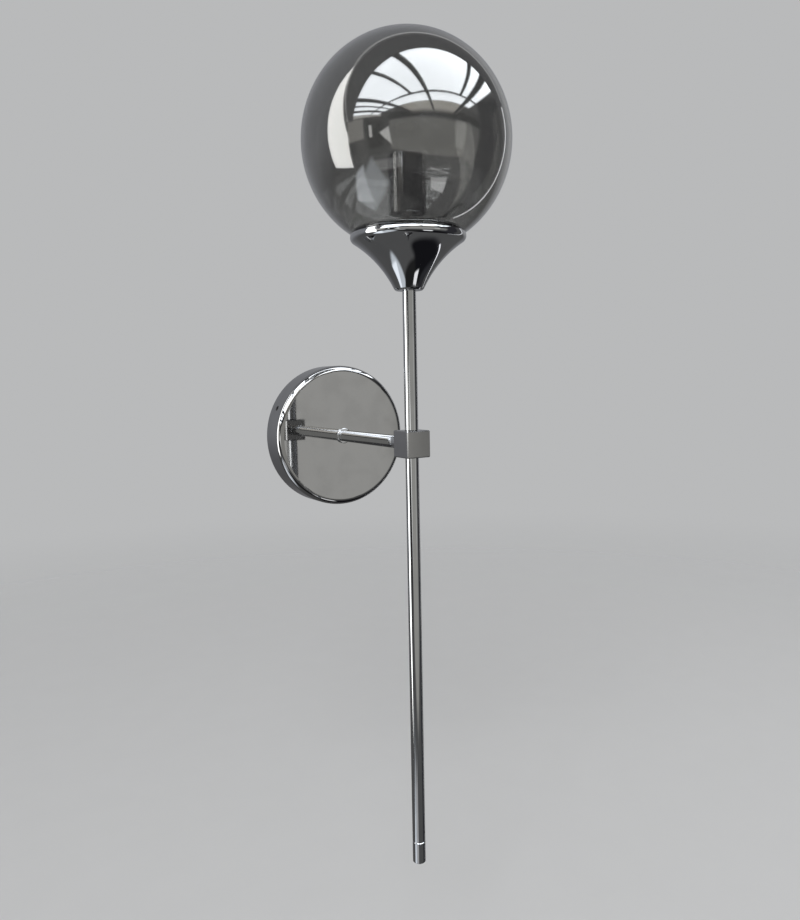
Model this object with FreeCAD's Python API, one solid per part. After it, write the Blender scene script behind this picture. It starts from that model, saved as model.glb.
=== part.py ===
import FreeCAD, Part
import math
import os

# Globe wall sconce: a glass ball on a flared cup, carried by a rod and a cube on an arm from a round wall canopy.
# Frame: the wall is the plane y = 0 and the fixture stands out from it towards -Y, +Z is up and +X is to the right
# of someone who faces the wall. The origin is the centre of the canopy on the wall. All sizes are in millimetres.

V = FreeCAD.Vector
UP = V(0, 0, 1)
DOWN = V(0, 0, -1)
OUT = V(0, -1, 0)

# ---------------------------------------------------------------- driving dimensions
# Glass ball
globe_r = 75.0
globe_wall = 2.5
globe_hole_inside_rim = 2.0
globe_lip_round = 0.8
globe_seat_gap = 0.3

# Overall reach and rod
arm_reach = 135.0
upper_stem_length = 102.0
lower_stem_length = 303.0
end_cap_length = 17.0
end_cap_spigot = 12.0
tube_wall = 0.95
edge_break = 0.3

# Lamp thread that joins the tubes: a hollow stud, modelled at its outer diameter
thread_r = 4.0
thread_wall = 1.5
thread_gap = 0.05
passing_gap = 0.2
tube_engagement = 10.0
thread_runout = 0.3
nut_wall = 1.5
nut_height = 4.0
thin_nut_height = 3.5
nut_corner_cut = 0.7

# Cube
cube_side = 20.0
cube_edge = 0.7
cube_core = 1.0
cube_passage_step = 1.0

# Wall canopy
canopy_r = 60.0
canopy_depth = 25.0
canopy_wall = 1.0
canopy_edge_round = 5.0
canopy_screw_from_wall = 11.0
canopy_screw_angle = 25.0
arm_collar_step = 1.5
arm_collar_length = 2.0
lock_washer_t = 0.8
lock_washer_width = 2.8
lock_washer_teeth = 12
lock_washer_notch = 1.2
lock_washer_notch_depth = 0.8
nipple_past_nut = 2.0

# Mounting plate behind the canopy
plate_edge_gap = 9.0
plate_t = 1.5
plate_cable_hole_r = 8.0
plate_slot_width = 5.0
plate_slot_length = 13.0
plate_slot_margin = 8.5
ear_width = 12.0
ear_front_gap = 6.0
ear_bend_r = 2.25
ear_gap = 0.4
ear_root = 8.0

# Set screws in the canopy's side
set_screw_r = 2.0
set_screw_length = 6.0
set_screw_recess = 0.4
set_screw_socket = 2.0

# Flared cup
cup_rim_r = 42.0
cup_height = 40.0
cup_wall = 1.0
cup_lip_height = 2.5
cup_lip_round = 4.0
cup_flare_angle = 57.0
cup_neck_r = 11.0
cup_neck_chamfer = 1.2
cup_floor_t = 3.0
cup_lip_break = 0.4

# Pan in the cup's mouth
pan_gap = 0.8
pan_wall = 1.0
pan_depth = 3.0
pan_rise = 4.3
pan_round = 1.6
spacer_wall = 1.8

# Spring strip
strip_t = 0.6
strip_width = 5.0
strip_above_pan = 5.2
strip_eye_width = 3.3
strip_foot_inside_hole = 12.0
strip_crest_past_hole = 2.5
strip_crest_rise = 8.5
strip_tip_past_hole = 7.5
strip_tip_gap = 0.6
strip_foot_bend = 2.0
strip_crest_bend = 2.5
strip_angle = -55.0

# Lampholder
sleeve_wall = 0.8
sleeve_base_t = 1.0
sleeve_height = 40.5
bracket_t = 0.8
bracket_eye_width = 2.1
bracket_width = 6.0
bracket_nut_gap = 1.3
bracket_height = 12.0
bracket_sleeve_gap = 0.8
bracket_bend = 1.0
tube_past_socket_nut = 1.0
holder_sleeve_gap = 0.5
holder_screw_margin = 2.3
holder_flat_margin = 0.5
holder_base_height = 5.0
holder_tower_y = 13.0
holder_tower_height = 17.0
holder_round = 1.5
holder_pocket_margin = 1.2
holder_pocket_width = 3.2
holder_pocket_depth = 3.5
pin_pitch = 9.0
pin_hole_wall = 1.15
contact_r = 1.6
contact_bore_r = 0.9
contact_length = 12.0
contact_recess = 2.0
socket_screw_tower_gap = 0.4
socket_screw_r = 1.25
socket_screw_head_r = 2.2
socket_screw_head_t = 1.5
socket_screw_past_flange = 1.2

# Terminal block and its screws
block_end_wall = 2.7
block_cover = 3.2
block_centre_z = 27.0
block_round = 1.0
pole_pitch = 8.0
clamp_r = 2.3
clamp_bore_r = 1.3
clamp_length = 14.0
clamp_inset = 1.0
clamp_screw_r = 1.3
clamp_screw_spacing = 8.0
clamp_screw_recess = 1.0
fixing_screw_r = 1.25
fixing_screw_head_r = 1.7
fixing_screw_head_t = 1.2
slot_width = 0.6
slot_depth = 0.5

# Earth connection on the plate
earth_x = 27.0
earth_z = -13.0
earth_screw_r = 2.0
earth_head_r = 3.5
earth_head_t = 2.2
earth_washer_r = 3.8
earth_washer_t = 0.6
earth_tag_r = 3.8
earth_tag_t = 0.8
earth_barrel_r = 1.5
earth_barrel_length = 6.0
earth_barrel_bottom = 1.5
earth_tongue = 0.5
earth_tag_angle = 20.0

# Leads
lead_r = 0.8
lead_gap = 0.1
lead_place_in_bore = 0.44
lead_bend = 5.0
lead_arm_bend = 4.0
lead_cube_bend = 4.5
lead_drop = 6.0
lead_canopy_y = -9.0
lead_past_tube = 0.8
lead_in_pocket = 1.0
earth_lead_drop = 3.0
earth_lead_sag = 11.0
earth_lead_side = 2.0
earth_lead_behind = 0.5
earth_lead_run = 6.0

# Cutting tools run this far past the faces that they open
past = 1.0

# ---------------------------------------------------------------- dependent places
rod = V(0, -arm_reach, 0)
half_cube = cube_side / 2
tube_bore_r = thread_r + thread_gap
tube_r = tube_bore_r + tube_wall
thread_bore_r = thread_r - thread_wall
passing_r = thread_r + passing_gap
nut_across_flats = 2 * (thread_r + nut_wall)
nut_corner_r = nut_across_flats / math.sqrt(3)
spacer_r = passing_r + spacer_wall
cube_engagement = half_cube - thread_r - cube_core
cube_passage_r = thread_r - cube_passage_step

cup_z = half_cube + upper_stem_length
cup_top_z = cup_z + cup_height
cup_inner_r = cup_rim_r - cup_wall
lip_break = min(cup_lip_break, cup_wall * 0.4)
seat_reach = globe_r + globe_seat_gap + lip_break
globe_z = cup_top_z - lip_break + math.sqrt(seat_reach ** 2 - (cup_inner_r + lip_break) ** 2)
globe_inner_r = globe_r - globe_wall
globe_hole_r = cup_inner_r - globe_hole_inside_rim

pan_r = globe_hole_r - pan_gap
pan_z = cup_top_z - pan_depth
cup_nut_z = cup_z + cup_floor_t
cup_spacer_z = cup_nut_z + nut_height
strip_spacer_z = pan_z + pan_wall
strip_z = pan_z + pan_depth + pan_rise + strip_above_pan
strip_eye_r = passing_r + strip_eye_width
strip_foot = globe_hole_r - strip_foot_inside_hole
strip_crest = globe_hole_r + strip_crest_past_hole
strip_tip = globe_hole_r + strip_tip_past_hole
strip_nut_z = strip_z + strip_t
sleeve_z = strip_nut_z + nut_height
bracket_z = sleeve_z + sleeve_base_t
socket_nut_z = bracket_z + bracket_t
centre_tube_top_z = socket_nut_z + thin_nut_height + tube_past_socket_nut
centre_tube_bottom_z = cup_z - tube_engagement
holder_z = bracket_z + bracket_height
holder_shoulder_z = holder_z + holder_base_height
holder_top_z = holder_shoulder_z + holder_tower_height
contact_z = holder_top_z - contact_recess - contact_length
pin_hole_r = contact_r + thread_gap
holder_tower_x = pin_pitch + 2 * (pin_hole_r + pin_hole_wall)
holder_width = holder_tower_y + 2 * holder_flat_margin
socket_screw_x = holder_tower_x / 2 + socket_screw_tower_gap + socket_screw_head_r
holder_r = socket_screw_x + holder_screw_margin
sleeve_inner_r = holder_r + holder_sleeve_gap
sleeve_r = sleeve_inner_r + sleeve_wall
bracket_eye_r = passing_r + bracket_eye_width
bracket_leg = nut_across_flats / 2 + bracket_nut_gap + bracket_t / 2
bracket_flange = sleeve_inner_r - bracket_sleeve_gap

canopy_front = canopy_depth
canopy_inner_front = canopy_depth - canopy_wall
canopy_inner_r = canopy_r - canopy_wall
arm_collar_r = tube_r + arm_collar_step
arm_start = canopy_front + arm_collar_length
arm_end = arm_reach - half_cube
lock_washer_r = passing_r + lock_washer_width
arm_nut_start = canopy_inner_front - lock_washer_t - thin_nut_height
arm_nipple_start = arm_nut_start - nipple_past_nut
lower_stem_end_z = -half_cube - lower_stem_length

plate_r = canopy_inner_r - plate_edge_gap
plate_slot_x = plate_r - plate_slot_margin - plate_slot_length / 2
ear_rise = canopy_inner_front - ear_front_gap
ear_mid_r = canopy_inner_r - ear_gap - plate_t / 2
canopy_screw_hole_r = set_screw_r + passing_gap

block_length = 2 * (pole_pitch + clamp_r + block_end_wall)
block_height = clamp_length + 2 * clamp_inset
block_depth = 2 * (clamp_r + block_cover)
block_front = plate_t + block_depth
pole_out = plate_t + block_depth / 2
block_bottom_z = block_centre_z - block_height / 2
lead_offset = thread_bore_r * lead_place_in_bore


# ---------------------------------------------------------------- shape helpers
def rounded_path(points, bends):
    """Straight edges through the points, joined at each inner point by a tangent arc of the given radius."""
    edges = []
    start = points[0]
    for before, corner, after, radius in zip(points, points[1:], points[2:], bends):
        back = (before - corner).normalize()
        ahead = (after - corner).normalize()
        half_turn = (math.pi - back.getAngle(ahead)) / 2
        reach = radius * math.tan(half_turn)
        middle_way = (back + ahead).normalize()
        centre = corner + middle_way * (radius / math.cos(half_turn))
        arc_start = corner + back * reach
        arc_end = corner + ahead * reach
        edges.append(Part.LineSegment(start, arc_start).toShape())
        edges.append(Part.Arc(arc_start, centre - middle_way * radius, arc_end).toShape())
        start = arc_end
    edges.append(Part.LineSegment(start, points[-1]).toShape())
    return edges


def ribbon(points, bends, thickness, width):
    """Bent strip: a path of (x, z) points with arcs, thickened to both sides and as wide along Y as given."""
    path = [V(x, 0, z) for x, z in points]
    halves = []
    for side in (thickness / 2, -thickness / 2):
        edges = []
        start = path[0] + across(path[0], path[1]) * side
        for before, corner, after, radius in zip(path, path[1:], path[2:], bends):
            back = (before - corner).normalize()
            ahead = (after - corner).normalize()
            half_turn = (math.pi - back.getAngle(ahead)) / 2
            reach = radius * math.tan(half_turn)
            middle_way = (back + ahead).normalize()
            middle = corner + middle_way * (radius / math.cos(half_turn) - radius)
            into = across(before, corner)
            onward = across(corner, after)
            arc_start = corner + back * reach + into * side
            arc_end = corner + ahead * reach + onward * side
            arc_middle = middle + (into + onward).normalize() * side
            edges.append(Part.LineSegment(start, arc_start).toShape())
            edges.append(Part.Arc(arc_start, arc_middle, arc_end).toShape())
            start = arc_end
        end = path[-1] + across(path[-2], path[-1]) * side
        edges.append(Part.LineSegment(start, end).toShape())
        halves.append((edges, path[0] + across(path[0], path[1]) * side, end))
    first, second = halves
    caps = [Part.LineSegment(first[1], second[1]).toShape(), Part.LineSegment(first[2], second[2]).toShape()]
    outline = Part.Wire(Part.__sortEdges__(first[0] + second[0] + caps))
    solid = Part.Face(outline).extrude(V(0, width, 0))
    solid.translate(V(0, -width / 2, 0))
    return solid


def across(start, end):
    """Unit vector to the left of a run in the XZ plane."""
    run = (end - start).normalize()
    return V(-run.z, 0, run.x)


def round_bar(radius, start, way, length):
    return Part.makeCylinder(radius, length, start, way)


def pipe(outer_r, inner_r, start, way, length):
    """Tube whose hole runs past both ends, so that the end faces are clean rings."""
    hole = round_bar(inner_r, start - way * past, way, length + 2 * past)
    return round_bar(outer_r, start, way, length).cut(hole)


def slab(size_x, size_y, size_z, centre):
    corner = centre - V(size_x / 2, size_y / 2, size_z / 2)
    return Part.makeBox(size_x, size_y, size_z, corner)


def hexagon(across_flats, start, way, height):
    """Hexagonal prism with two flats square to the X axis."""
    corner_r = across_flats / math.sqrt(3)
    sideways = V(1, 0, 0)
    upright = way.cross(sideways)
    corners = []
    for step in range(7):
        turn = math.radians(60 * step + 30)
        corners.append(start + sideways * (corner_r * math.cos(turn)) + upright * (corner_r * math.sin(turn)))
    return Part.Face(Part.makePolygon(corners)).extrude(way * height)


def lamp_nut(start, way, height):
    """Hexagon nut on the lamp thread, with its corners turned off at both faces."""
    blank = hexagon(nut_across_flats, start, way, height)
    lathe = round_bar(nut_corner_r, start, way, height)
    rims = [edge for edge in lathe.Edges if edge.Curve.TypeId == "Part::GeomCircle"]
    turned = lathe.makeChamfer((nut_corner_r - nut_across_flats / 2) * nut_corner_cut, rims)
    hole = round_bar(tube_bore_r, start - way * past, way, height + 2 * past)
    return blank.common(turned).cut(hole)


def ring_edges(shape, radius, place, way):
    """Circular edges of one radius that lie at one distance along a direction."""
    found = []
    for edge in shape.Edges:
        if edge.Degenerated or edge.Curve.TypeId != "Part::GeomCircle":
            continue
        same_radius = abs(edge.Curve.Radius - radius) < 1e-4
        same_place = abs(edge.Curve.Center.dot(way) - place) < 1e-4
        if same_radius and same_place:
            found.append(edge)
    return found


def broken_tube(outer_r, inner_r, start, way, length):
    """Tube with its outer end edges slightly broken."""
    blank = round_bar(outer_r, start, way, length)
    near = ring_edges(blank, outer_r, start.dot(way), way)
    far = ring_edges(blank, outer_r, start.dot(way) + length, way)
    blank = blank.makeChamfer(edge_break, near + far)
    return blank.cut(round_bar(inner_r, start - way * past, way, length + 2 * past))


def rod_point(z):
    return rod + UP * z


def about_ear(shape, opposite):
    """Turn a shape drawn along +X to the direction of a canopy screw, left and up, or its opposite."""
    turned = shape.copy()
    turn = canopy_screw_angle if opposite else canopy_screw_angle + 180.0
    turned.rotate(V(0, 0, 0), V(0, 1, 0), turn)
    return turned


def slotted_screw(head_r, head_t, shank_r, shank_length, head_top, way):
    """Cheese-head screw: way points from the head into the work."""
    head = round_bar(head_r, head_top, way, head_t)
    shank = round_bar(shank_r, head_top + way * head_t, way, shank_length)
    groove_length = 2 * (head_r + past)
    groove = slab(groove_length, slot_depth * 2, slot_width, head_top)
    if abs(way.z) > 0.5:
        groove = slab(groove_length, slot_width, slot_depth * 2, head_top)
    return head.fuse(shank).cut(groove).removeSplitter()


# ---------------------------------------------------------------- wall canopy and its plate
def mounting_plate():
    """Round plate on the wall, with a cable hole, two slots for wall screws and two bent, tapped ears."""
    plate = round_bar(plate_r, V(0, 0, 0), OUT, plate_t)
    path = [(plate_r - ear_root, 0), (ear_mid_r, 0), (ear_mid_r, ear_rise - plate_t / 2)]
    ear = ribbon(path, [ear_bend_r], plate_t, ear_width)
    ear.rotate(V(0, 0, 0), V(1, 0, 0), 90)
    ear.translate(OUT * (plate_t / 2))
    for opposite in (False, True):
        plate = plate.fuse(about_ear(ear, opposite))
    for opposite in (False, True):
        tapped = round_bar(set_screw_r + thread_gap, V(plate_r, -canopy_screw_from_wall, 0), V(1, 0, 0), canopy_r)
        plate = plate.cut(about_ear(tapped, opposite))
    through = plate_t + 2 * past
    plate = plate.cut(round_bar(plate_cable_hole_r, V(0, past, 0), OUT, through))
    slot_r = plate_slot_width / 2
    straight = plate_slot_length - plate_slot_width
    for side in (-1, 1):
        centre = V(side * plate_slot_x, -plate_t / 2, 0)
        plate = plate.cut(slab(straight, through, plate_slot_width, centre))
        for end in (-1, 1):
            start = V(centre.x + end * straight / 2, past, 0)
            plate = plate.cut(round_bar(slot_r, start, OUT, through))
    for x, z in block_fixings():
        plate = plate.cut(round_bar(fixing_screw_r + thread_gap, V(x, past, z), OUT, through))
    plate = plate.cut(round_bar(earth_screw_r + thread_gap, V(earth_x, past, earth_z), OUT, through))
    return plate.removeSplitter()


def block_fixings():
    """Places of the screws that hold the terminal block, between its poles."""
    return [(side * pole_pitch / 2, block_centre_z) for side in (-1, 1)]


def canopy_cover():
    """Shallow spun cup with a rounded front edge, a hole for the arm and two holes for set screws."""
    outer = round_bar(canopy_r, V(0, 0, 0), OUT, canopy_depth)
    outer = outer.makeFillet(canopy_edge_round, ring_edges(outer, canopy_r, canopy_depth, OUT))
    inner = round_bar(canopy_inner_r, V(0, past, 0), OUT, canopy_inner_front + past)
    inner_round = canopy_edge_round - canopy_wall
    inner = inner.makeFillet(inner_round, ring_edges(inner, canopy_inner_r, canopy_inner_front, OUT))
    cover = outer.cut(inner)
    cover = cover.cut(round_bar(passing_r, OUT * (canopy_inner_front - past), OUT, canopy_wall + 2 * past))
    start = V(canopy_inner_r - past, -canopy_screw_from_wall, 0)
    hole = round_bar(canopy_screw_hole_r, start, V(1, 0, 0), canopy_wall + 2 * past)
    for opposite in (False, True):
        cover = cover.cut(about_ear(hole, opposite))
    return cover


def canopy_set_screws():
    """Two socket set screws through the canopy's side into the ears of the plate."""
    outer_end = canopy_r - set_screw_recess
    start = V(outer_end - set_screw_length, -canopy_screw_from_wall, 0)
    screw = round_bar(set_screw_r, start, V(1, 0, 0), set_screw_length)
    socket = hexagon(set_screw_socket, V(0, 0, 0), UP, set_screw_socket + past)
    socket.rotate(V(0, 0, 0), V(0, 1, 0), 90)
    socket.translate(V(outer_end - set_screw_socket, -canopy_screw_from_wall, 0))
    screw = screw.cut(socket)
    return Part.makeCompound([about_ear(screw, False), about_ear(screw, True)])


def arm_lock_washer():
    """Toothed washer between the canopy's inside and the arm nut."""
    start = OUT * (canopy_inner_front - lock_washer_t)
    washer = pipe(lock_washer_r, passing_r, start, OUT, lock_washer_t)
    rim = start + V(lock_washer_r, -lock_washer_t / 2, 0)
    notch = slab(lock_washer_notch_depth * 2, lock_washer_t + 2 * past, lock_washer_notch, rim)
    for step in range(lock_washer_teeth):
        turned = notch.copy()
        turned.rotate(V(0, 0, 0), V(0, 1, 0), 360.0 * step / lock_washer_teeth)
        washer = washer.cut(turned)
    return washer


def arm_nut():
    return lamp_nut(OUT * arm_nut_start, OUT, thin_nut_height)


def arm_nipple():
    """Hollow stud from inside the canopy, through its face and the collar, into the arm."""
    length = arm_start + tube_engagement - arm_nipple_start
    return pipe(thread_r, thread_bore_r, OUT * arm_nipple_start, OUT, length)


def arm_collar():
    collar = round_bar(arm_collar_r, OUT * canopy_front, OUT, arm_collar_length)
    front = ring_edges(collar, arm_collar_r, arm_start, OUT)
    collar = collar.makeFillet(arm_collar_length / 3, front)
    return collar.cut(round_bar(passing_r, OUT * (canopy_front - past), OUT, arm_collar_length + 2 * past))


def arm_tube():
    return broken_tube(tube_r, tube_bore_r, OUT * arm_start, OUT, arm_end - arm_start)


# ---------------------------------------------------------------- cube and rod
def cube_block():
    """Solid cube with broken edges, tapped from the back for the arm and bored from top to bottom for the rod."""
    cube = slab(cube_side, cube_side, cube_side, rod)
    cube = cube.makeChamfer(cube_edge, cube.Edges)
    cube = cube.cut(round_bar(tube_bore_r, rod_point(-cube_side), UP, cube_side * 2))
    cube = cube.cut(round_bar(cube_passage_r, rod, V(0, 1, 0), cube_side))
    depth = cube_engagement + thread_runout
    return cube.cut(round_bar(tube_bore_r, OUT * (arm_end - past), OUT, depth + past))


def cube_arm_nipple():
    start = OUT * (arm_end - tube_engagement)
    return pipe(thread_r, thread_bore_r, start, OUT, tube_engagement + cube_engagement)


def cube_upper_nipple():
    start = rod_point(half_cube - cube_engagement)
    return pipe(thread_r, thread_bore_r, start, UP, cube_engagement + tube_engagement)


def cube_lower_stud():
    start = rod_point(-half_cube - tube_engagement)
    return round_bar(thread_r, start, UP, cube_engagement + tube_engagement)


def upper_stem():
    return broken_tube(tube_r, tube_bore_r, rod_point(half_cube), UP, upper_stem_length)


def lower_stem():
    return broken_tube(tube_r, tube_bore_r, rod_point(lower_stem_end_z), UP, lower_stem_length)


def stem_end_cap():
    """Turned cap that closes the rod, with a spigot in the tube."""
    cap = round_bar(tube_r, rod_point(lower_stem_end_z), DOWN, end_cap_length)
    rims = ring_edges(cap, tube_r, lower_stem_end_z, UP)
    rims += ring_edges(cap, tube_r, lower_stem_end_z - end_cap_length, UP)
    cap = cap.makeChamfer(edge_break, rims)
    spigot = round_bar(thread_r, rod_point(lower_stem_end_z), UP, end_cap_spigot)
    return cap.fuse(spigot).removeSplitter()


# ---------------------------------------------------------------- cup, pan and spring strip
def cup_profile(inset):
    """Side of the cup, moved inwards: upright lip, a round corner and one long concave flare that meets the neck.

    Returns the edges from the neck up to the rim, with their lowest and highest points."""
    angle = math.radians(cup_flare_angle)
    square_to_flare = V(math.cos(angle), 0, -math.sin(angle))
    corner_centre = V(cup_rim_r - cup_lip_round, 0, cup_height - cup_lip_height)
    neck = V(cup_neck_r, 0, cup_neck_chamfer)
    flare_start = corner_centre + square_to_flare * cup_lip_round
    drop = neck - flare_start
    flare_r = drop.dot(drop) / (2 * drop.dot(square_to_flare))
    flare_centre = flare_start + square_to_flare * flare_r

    rim = V(cup_rim_r - inset, 0, cup_height)
    lip_foot = V(cup_rim_r - inset, 0, cup_height - cup_lip_height)
    corner_r = cup_lip_round - inset
    corner_middle = corner_centre + V(math.cos(angle / 2), 0, -math.sin(angle / 2)) * corner_r
    corner_end = corner_centre + square_to_flare * corner_r
    to_start = (flare_start - flare_centre).normalize()
    to_neck = (neck - flare_centre).normalize()
    flare_end = flare_centre + to_neck * (flare_r + inset)
    flare_middle = flare_centre + (to_start + to_neck).normalize() * (flare_r + inset)
    edges = [
        Part.Arc(flare_end, flare_middle, corner_end).toShape(),
        Part.Arc(corner_end, corner_middle, lip_foot).toShape(),
        Part.LineSegment(lip_foot, rim).toShape(),
    ]
    return edges, flare_end, rim


def turned_about_rod(edges, points, base_z):
    """Solid of revolution from a half section: edges, closed by straight lines through the further points."""
    lines = []
    for start, end in zip(points, points[1:]):
        lines.append(Part.LineSegment(start, end).toShape())
    section = Part.Face(Part.Wire(Part.__sortEdges__(edges + lines)))
    solid = section.revolve(V(0, 0, 0), UP, 360)
    solid.translate(rod_point(base_z))
    return solid


def flared_cup():
    """Spun trumpet with an even wall, a thicker floor and a hole for the centre tube."""
    edges, neck, rim = cup_profile(0.0)
    foot = V(cup_neck_r - cup_neck_chamfer, 0, 0)
    outer = turned_about_rod(edges, [rim, V(0, 0, cup_height), V(0, 0, 0), foot, neck], cup_z)
    edges, low, rim = cup_profile(cup_wall)
    cavity = turned_about_rod(edges, [rim, V(0, 0, cup_height), V(0, 0, low.z), low], cup_z)
    floor = round_bar(cup_rim_r, rod_point(cup_z - past), UP, cup_floor_t + past)
    cup = outer.cut(cavity.cut(floor))
    lip = ring_edges(cup, cup_rim_r, cup_top_z, UP) + ring_edges(cup, cup_inner_r, cup_top_z, UP)
    cup = cup.makeFillet(lip_break, lip)
    return cup.cut(round_bar(passing_r, rod_point(cup_z - past), UP, cup_floor_t + 2 * past))


def centre_tube():
    length = centre_tube_top_z - centre_tube_bottom_z
    return pipe(thread_r, thread_bore_r, rod_point(centre_tube_bottom_z), UP, length)


def cup_locknut():
    return lamp_nut(rod_point(cup_nut_z), UP, nut_height)


def cup_spacer():
    return pipe(spacer_r, passing_r, rod_point(cup_spacer_z), UP, pan_z - cup_spacer_z)


def fitter_pan():
    """Flat pan whose turned-up edge stands inside the hole of the ball and keeps it centred."""
    height = pan_depth + pan_rise
    outer = round_bar(pan_r, rod_point(pan_z), UP, height)
    outer = outer.makeFillet(pan_round, ring_edges(outer, pan_r, pan_z, UP))
    inner_r = pan_r - pan_wall
    inner = round_bar(inner_r, rod_point(pan_z + pan_wall), UP, height)
    inner = inner.makeFillet(pan_round - pan_wall, ring_edges(inner, inner_r, pan_z + pan_wall, UP))
    pan = outer.cut(inner)
    return pan.cut(round_bar(passing_r, rod_point(pan_z - past), UP, pan_wall + 2 * past))


def strip_spacer():
    return pipe(spacer_r, passing_r, rod_point(strip_spacer_z), UP, strip_z - strip_spacer_z)


def spring_strip():
    """Flat strip with an eye on the centre tube; each arm rises to a crest and bears down inside the glass."""
    glass_z = globe_z - math.sqrt(globe_inner_r ** 2 - strip_tip ** 2)
    base = strip_t / 2
    tip_z = glass_z + strip_tip_gap - strip_z
    crest = (strip_crest, base + strip_crest_rise)
    foot = (strip_foot, base)
    right = [foot, crest, (strip_tip, tip_z)]
    left = [(-x, z) for x, z in reversed(right)]
    bends = [strip_crest_bend, strip_foot_bend, strip_foot_bend, strip_crest_bend]
    strip = ribbon(left + right, bends, strip_t, strip_width)
    strip = strip.fuse(round_bar(strip_eye_r, V(0, 0, 0), UP, strip_t)).removeSplitter()
    strip = strip.cut(round_bar(passing_r, DOWN * past, UP, strip_t + 2 * past))
    strip.rotate(V(0, 0, 0), UP, strip_angle)
    strip.translate(rod_point(strip_z))
    return strip


def strip_nut():
    return lamp_nut(rod_point(strip_nut_z), UP, nut_height)


# ---------------------------------------------------------------- lampholder
def holder_sleeve():
    """Open cylinder with a floor that is clamped on the centre tube."""
    outer = round_bar(sleeve_r, rod_point(sleeve_z), UP, sleeve_height)
    outer = outer.makeChamfer(edge_break, ring_edges(outer, sleeve_r, sleeve_z, UP))
    inner = round_bar(sleeve_inner_r, rod_point(bracket_z), UP, sleeve_height)
    sleeve = outer.cut(inner)
    top = sleeve_z + sleeve_height
    rims = ring_edges(sleeve, sleeve_r, top, UP) + ring_edges(sleeve, sleeve_inner_r, top, UP)
    sleeve = sleeve.makeFillet(min(edge_break, sleeve_wall * 0.4), rims)
    return sleeve.cut(round_bar(passing_r, rod_point(sleeve_z - past), UP, sleeve_base_t + 2 * past))


def socket_bracket():
    """Bent bracket: an eye on the centre tube, two legs and two flanges that carry the holder."""
    low = bracket_t / 2
    high = bracket_height - bracket_t / 2
    right = [(bracket_leg, low), (bracket_leg, high), (bracket_flange, high)]
    left = [(-x, z) for x, z in reversed(right)]
    bracket = ribbon(left + right, [bracket_bend] * 4, bracket_t, bracket_width)
    bracket = bracket.fuse(round_bar(bracket_eye_r, V(0, 0, 0), UP, bracket_t)).removeSplitter()
    bracket = bracket.cut(round_bar(passing_r, DOWN * past, UP, bracket_t + 2 * past))
    for side in (-1, 1):
        start = V(side * socket_screw_x, 0, bracket_height / 2)
        bracket = bracket.cut(round_bar(socket_screw_r + thread_gap, start, UP, bracket_height))
    bracket.translate(rod_point(bracket_z))
    return bracket


def socket_nut():
    return lamp_nut(rod_point(socket_nut_z), UP, thin_nut_height)


def g9_socket():
    """Ceramic holder: a round base with two flats, a tower with two pin holes and a pocket below for the leads."""
    base = round_bar(holder_r, rod_point(holder_z), UP, holder_base_height)
    flats = slab(holder_r * 2, holder_width, holder_base_height, rod_point(holder_z + holder_base_height / 2))
    middle = rod_point(holder_shoulder_z + (holder_tower_height - past) / 2)
    tower = slab(holder_tower_x, holder_tower_y, holder_tower_height + past, middle)
    uprights = [edge for edge in tower.Edges if abs(edge.tangentAt(edge.FirstParameter).z) > 0.9]
    tower = tower.makeFillet(holder_round, uprights)
    holder = base.common(flats).fuse(tower).removeSplitter()
    pocket_length = pin_pitch + 2 * holder_pocket_margin
    pocket_middle = rod_point(holder_z + (holder_pocket_depth - past) / 2)
    holder = holder.cut(slab(pocket_length, holder_pocket_width, holder_pocket_depth + past, pocket_middle))
    for side in (-1, 1):
        pin = rod + V(side * pin_pitch / 2, 0, 0)
        holder = holder.cut(round_bar(lead_r + lead_gap * 2, pin + UP * holder_z, UP, contact_z - holder_z))
        holder = holder.cut(round_bar(pin_hole_r, pin + UP * contact_z, UP, holder_top_z - contact_z + past))
        screw = rod + V(side * socket_screw_x, 0, holder_z - past)
        holder = holder.cut(round_bar(socket_screw_r + passing_gap, screw, UP, holder_base_height + 2 * past))
    return holder


def socket_contacts():
    """Two spring sleeves that take the lamp's pins."""
    contacts = []
    for side in (-1, 1):
        start = rod + V(side * pin_pitch / 2, 0, contact_z)
        contact = pipe(contact_r, contact_bore_r, start, UP, contact_length)
        split = slab(contact_r, slot_width, contact_length * 1.5, start + V(side * contact_r, 0, contact_length))
        contacts.append(contact.cut(split))
    return Part.makeCompound(contacts)


def socket_screws():
    """Two screws from the holder's shoulder into the flanges of the bracket."""
    screws = []
    length = holder_base_height + bracket_t + socket_screw_past_flange
    for side in (-1, 1):
        top = rod + V(side * socket_screw_x, 0, holder_shoulder_z + socket_screw_head_t)
        screws.append(slotted_screw(socket_screw_head_r, socket_screw_head_t, socket_screw_r, length, top, DOWN))
    return Part.makeCompound(screws)


# ---------------------------------------------------------------- glass
def glass_globe():
    """Blown ball of even wall with a round hole at the bottom and a fire-polished lip."""
    centre = rod_point(globe_z)
    ball = Part.makeSphere(globe_r, centre).cut(Part.makeSphere(globe_inner_r, centre))
    ball = ball.cut(round_bar(globe_hole_r, centre, DOWN, globe_r + past))
    lip = []
    for sphere_r in (globe_r, globe_inner_r):
        height = globe_z - math.sqrt(sphere_r ** 2 - globe_hole_r ** 2)
        lip += ring_edges(ball, globe_hole_r, height, UP)
    return ball.makeFillet(min(globe_lip_round, globe_wall * 0.4), lip)


# ---------------------------------------------------------------- terminal block and earth connection
def pole_places():
    return [-pole_pitch, 0.0, pole_pitch]


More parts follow.
